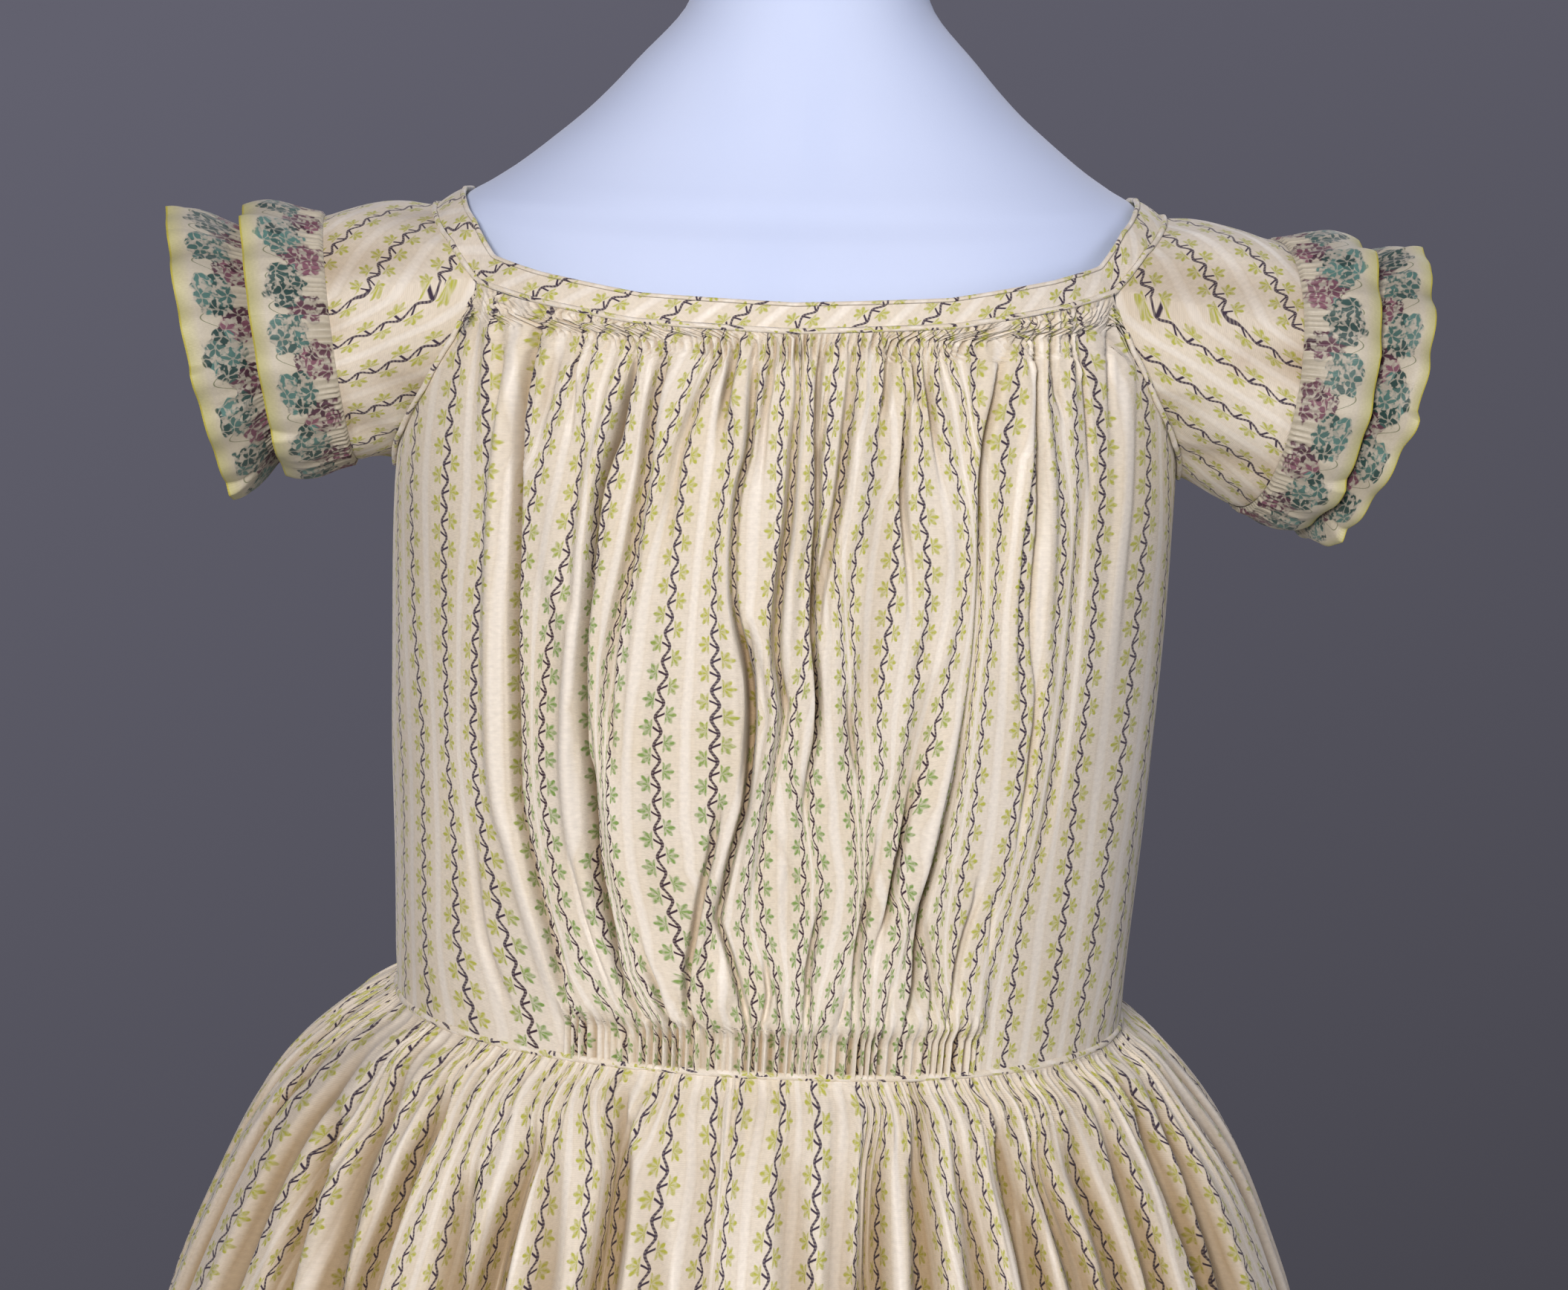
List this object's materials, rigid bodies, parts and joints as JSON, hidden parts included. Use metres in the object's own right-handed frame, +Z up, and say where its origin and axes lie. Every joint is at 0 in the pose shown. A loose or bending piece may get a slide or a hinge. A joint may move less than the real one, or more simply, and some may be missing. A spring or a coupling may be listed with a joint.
{
  "type": "dress on a limbless dress form",
  "caption": "Girl's short-sleeved gathered dress in flowered stripe with ribbon frills at the sleeves, worn by a plain limbless dress form on a round stand.",
  "frame": {"origin": "middle of the underside of the stand's round base", "axes": "+Z up along the pole, -Y towards the front of the dress, +X towards the wearer's left sleeve"},
  "size_m": [0.4319, 0.4193, 1.1178],
  "materials": {
    "brocade": "cream wool and silk with satin stripes and woven vines",
    "piping": "bias strip of the same cloth over a cord",
    "ribbon": "flowered silk ribbon with yellow-green edges",
    "form_cover": "smooth white jersey",
    "stand": "satin grey"
  },
  "bodies": {
    "root": {"bodice_front": "brocade", "bodice_back_left": "brocade", "bodice_back_right": "brocade", "neckband": "brocade", "sleeve_left": "brocade", "sleeve_right": "brocade", "skirt_front": "brocade", "skirt_side_left": "brocade", "skirt_side_right": "brocade", "skirt_back_left": "brocade", "skirt_back_right": "brocade", "neck_piping": "piping", "waist_piping": "piping", "armhole_piping_left": "piping", "armhole_piping_right": "piping", "frill_inner_left": "ribbon", "frill_inner_right": "ribbon", "frill_outer_left": "ribbon", "frill_outer_right": "ribbon", "form_torso": "form_cover", "stand_pole": "stand", "stand_base": "stand"}
  },
  "joints": []
}
